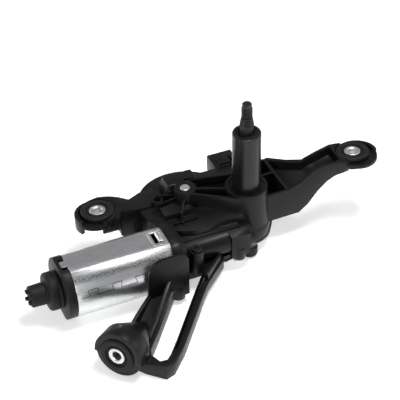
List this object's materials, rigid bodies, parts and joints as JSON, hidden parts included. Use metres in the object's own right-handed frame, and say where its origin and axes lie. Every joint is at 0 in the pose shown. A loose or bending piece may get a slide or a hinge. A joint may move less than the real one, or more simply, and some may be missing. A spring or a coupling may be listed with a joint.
{
  "type": "rear wiper motor assembly",
  "caption": "Geared wiper motor: a cylindrical motor drives a threaded output shaft in a tower, on a black frame with rubber-mounted arms.",
  "frame": {"origin": "on the output shaft's axis, at the top face of the tower's collar", "axes": "+Z outwards along the output shaft, +X along the motor from its rear cap towards the gearbox"},
  "size_m": [0.2734, 0.1654, 0.1206],
  "materials": {
    "moulded_black": "satin black glass-filled plastic",
    "arm_black": "satin black glass-filled plastic",
    "coated_steel": "satin black coated steel",
    "shaft_steel": "dark phosphated steel",
    "zinc_can": "zinc plated sheet steel",
    "zinc_small": "bright zinc plated steel",
    "cover_steel": "zinc plated sheet steel",
    "bearing_bronze": "sintered bronze",
    "contact_brass": "stamped brass",
    "copper": "enamelled copper",
    "carbon": "pressed carbon",
    "magnet": "sintered ferrite",
    "core_steel": "laminated steel",
    "gear_white": "natural acetal",
    "rubber_black": "black rubber",
    "end_black": "black plastic"
  },
  "bodies": {
    "housing": {"gear_housing": "moulded_black", "right_mount_arm": "arm_black", "left_mount_arm": "arm_black", "front_mount_arm": "arm_black", "cover_plate": "cover_steel", "cover_screws": "zinc_small", "frame_screw": "coated_steel", "underside_buffers": "rubber_black", "tower_sleeve": "coated_steel", "upper_bush": "bearing_bronze", "lower_bush": "bearing_bronze", "shaft_seal": "rubber_black", "wheel_pin": "zinc_small", "wheel_clip": "zinc_small", "park_contacts": "contact_brass", "motor_can": "zinc_can", "magnets": "magnet", "end_plate": "end_black", "brushes": "carbon", "brush_springs": "zinc_small", "rear_bearing": "bearing_bronze", "front_bearing": "bearing_bronze", "worm_end_bush": "bearing_bronze", "worm_end_plug": "end_black", "rear_cap": "rubber_black", "connector_socket": "moulded_black", "connector_pins": "contact_brass", "left_grommet": "rubber_black", "left_spacer": "zinc_small", "right_grommet": "rubber_black", "right_spacer": "zinc_small", "front_grommet": "rubber_black", "front_spacer": "zinc_small"},
    "output": {"output_shaft": "shaft_steel", "shaft_ring": "zinc_small", "output_lever": "zinc_small", "lever_pin": "zinc_small"},
    "wheel": {"worm_wheel": "gear_white", "contact_ring": "contact_brass", "crank_pin": "zinc_small", "crank_clip": "zinc_small"},
    "rod": {"connecting_rod": "zinc_small"},
    "armature": {"armature_shaft": "zinc_small", "armature_core": "core_steel", "windings": "copper", "commutator": "copper"}
  },
  "joints": [
    {"name": "motor_turn", "type": "hinge", "parent": "housing", "child": "armature", "pos_m": [-0.1, -0.018, -0.0285], "axis": [-1, 0, 0], "range_deg": [0, 10080]},
    {"name": "wheel_turn", "type": "hinge", "parent": "housing", "child": "wheel", "pos_m": [-0.04, 0.017, 0], "axis": [0, 0, 1], "range_deg": [0, 180]},
    {"name": "rod_swing", "type": "hinge", "parent": "wheel", "child": "rod", "pos_m": [-0.02633, 0.01518, 0], "axis": [0, 0, 1], "range_deg": [-180, 0]},
    {"name": "wiper_sweep", "type": "hinge", "parent": "housing", "child": "output", "pos_m": [0, 0, 0], "axis": [0, 0, 1], "range_deg": [0, 100]}
  ],
  "couplings": [
    {"joint": "wheel_turn", "follows": "motor_turn", "ratio": 0.017857},
    {"joint": "rod_swing", "follows": "motor_turn", "ratio": -0.017857},
    {"joint": "wiper_sweep", "follows": "motor_turn", "ratio": 0.0099206}
  ]
}
